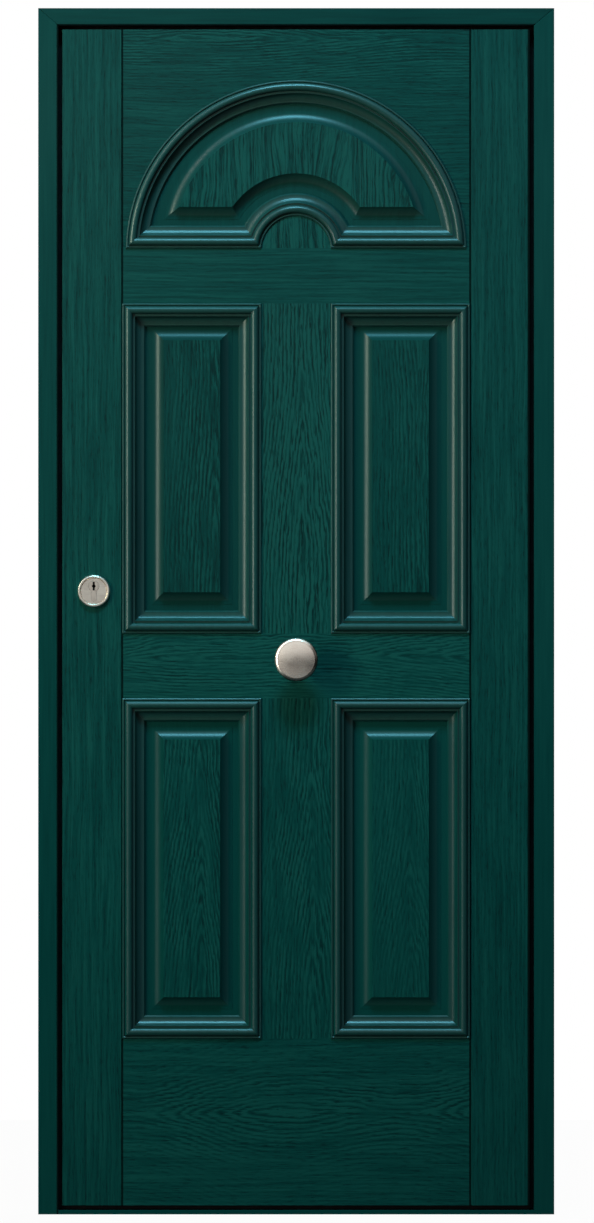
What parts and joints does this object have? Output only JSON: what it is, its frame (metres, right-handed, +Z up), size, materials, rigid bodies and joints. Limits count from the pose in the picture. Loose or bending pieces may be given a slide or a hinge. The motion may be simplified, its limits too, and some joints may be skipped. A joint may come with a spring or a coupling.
{
  "type": "panelled front door with frame",
  "caption": "Green-stained timber front door in its frame: a rebated leaf with raised rectangular panels, a half-round fan panel, a centre knob, a keyed lock and an inside lever.",
  "frame": {"origin": "on the floor, in the middle of the width and depth of the frame, at the underside of the threshold", "axes": "+Z up, +X to the right seen from outside, +Y towards the inside of the building; the outside faces -Y"},
  "size_m": [0.9, 0.1777, 2.104],
  "materials": {
    "frame_timber": "satin",
    "leaf_timber": "satin",
    "panel_timber": "satin",
    "moulding_timber": "satin",
    "threshold": "satin",
    "seal_rubber": "matte",
    "steel": "satin",
    "satin_nickel": "satin"
  },
  "bodies": {
    "frame": {"jamb_left": "frame_timber", "jamb_right": "frame_timber", "head": "frame_timber", "threshold": "threshold", "strike_plate": "steel", "strike_screws": "steel", "hinge_jamb_flap_bottom": "steel", "hinge_jamb_flap_middle": "steel", "hinge_jamb_flap_top": "steel", "hinge_pins": "steel", "hinge_jamb_screws": "steel"},
    "leaf": {"stile_lock": "leaf_timber", "stile_hinge": "leaf_timber", "top_rail": "leaf_timber", "frieze_rail": "leaf_timber", "lock_rail": "leaf_timber", "bottom_rail": "leaf_timber", "muntin_upper": "leaf_timber", "muntin_lower": "leaf_timber", "fan_hub": "leaf_timber", "fan_panel": "panel_timber", "panel_upper_left": "panel_timber", "panel_upper_right": "panel_timber", "panel_lower_left": "panel_timber", "panel_lower_right": "panel_timber", "moulding_fan": "moulding_timber", "moulding_upper_left": "moulding_timber", "moulding_upper_right": "moulding_timber", "moulding_lower_left": "moulding_timber", "moulding_lower_right": "moulding_timber", "inner_bead_fan": "moulding_timber", "inner_bead_upper_left": "moulding_timber", "inner_bead_upper_right": "moulding_timber", "inner_bead_lower_left": "moulding_timber", "inner_bead_lower_right": "moulding_timber", "perimeter_seal": "seal_rubber", "bottom_seal": "seal_rubber", "hinge_leaf_flap_bottom": "steel", "hinge_leaf_flap_middle": "steel", "hinge_leaf_flap_top": "steel", "hinge_leaf_screws": "steel", "lock_case": "steel", "lock_faceplate": "steel", "faceplate_screws": "steel", "lever_rose": "satin_nickel", "cylinder_body": "satin_nickel", "escutcheon_ring": "satin_nickel", "escutcheon_disc": "satin_nickel", "inner_escutcheon": "satin_nickel", "knob_rose": "satin_nickel", "knob_stem": "satin_nickel", "knob_head": "satin_nickel", "knob_bolt": "satin_nickel"},
    "lever": {"lever_follower": "steel", "lever_spindle": "steel", "lever_handle": "satin_nickel"},
    "latch": {"latch_bolt": "steel"},
    "bolt": {"dead_bolt": "steel"},
    "turn": {"thumb_turn": "satin_nickel"},
    "plug": {"cylinder_plug": "satin_nickel"}
  },
  "joints": [
    {"name": "door_swing", "type": "hinge", "parent": "frame", "child": "leaf", "pos_m": [0.4255, 0.0405, 0], "axis": [0, 0, -1], "range_deg": [0, 105]},
    {"name": "lever_press", "type": "hinge", "parent": "leaf", "child": "lever", "pos_m": [-0.353, 0.0135, 1.004], "axis": [0, 1, 0], "range_deg": [0, 40], "stiffness_Nm_per_rad": 0.8, "springref_deg": -28.65},
    {"name": "latch_slide", "type": "slide", "parent": "leaf", "child": "latch", "axis": [1, 0, 0], "range_m": [0, 0.011]},
    {"name": "thumb_turn_spin", "type": "hinge", "parent": "leaf", "child": "turn", "pos_m": [-0.353, 0.0135, 1.096], "axis": [0, 1, 0], "range_deg": [0, 360]},
    {"name": "dead_bolt_slide", "type": "slide", "parent": "leaf", "child": "bolt", "axis": [-1, 0, 0], "range_m": [0, 0.02]},
    {"name": "key_plug_spin", "type": "hinge", "parent": "leaf", "child": "plug", "pos_m": [-0.353, 0.0135, 1.096], "axis": [0, 1, 0], "range_deg": [0, 360]}
  ],
  "couplings": [
    {"joint": "latch_slide", "follows": "lever_press", "m_per_rad": 0.015755},
    {"joint": "thumb_turn_spin", "follows": "dead_bolt_slide", "rad_per_m": 314.13}
  ]
}
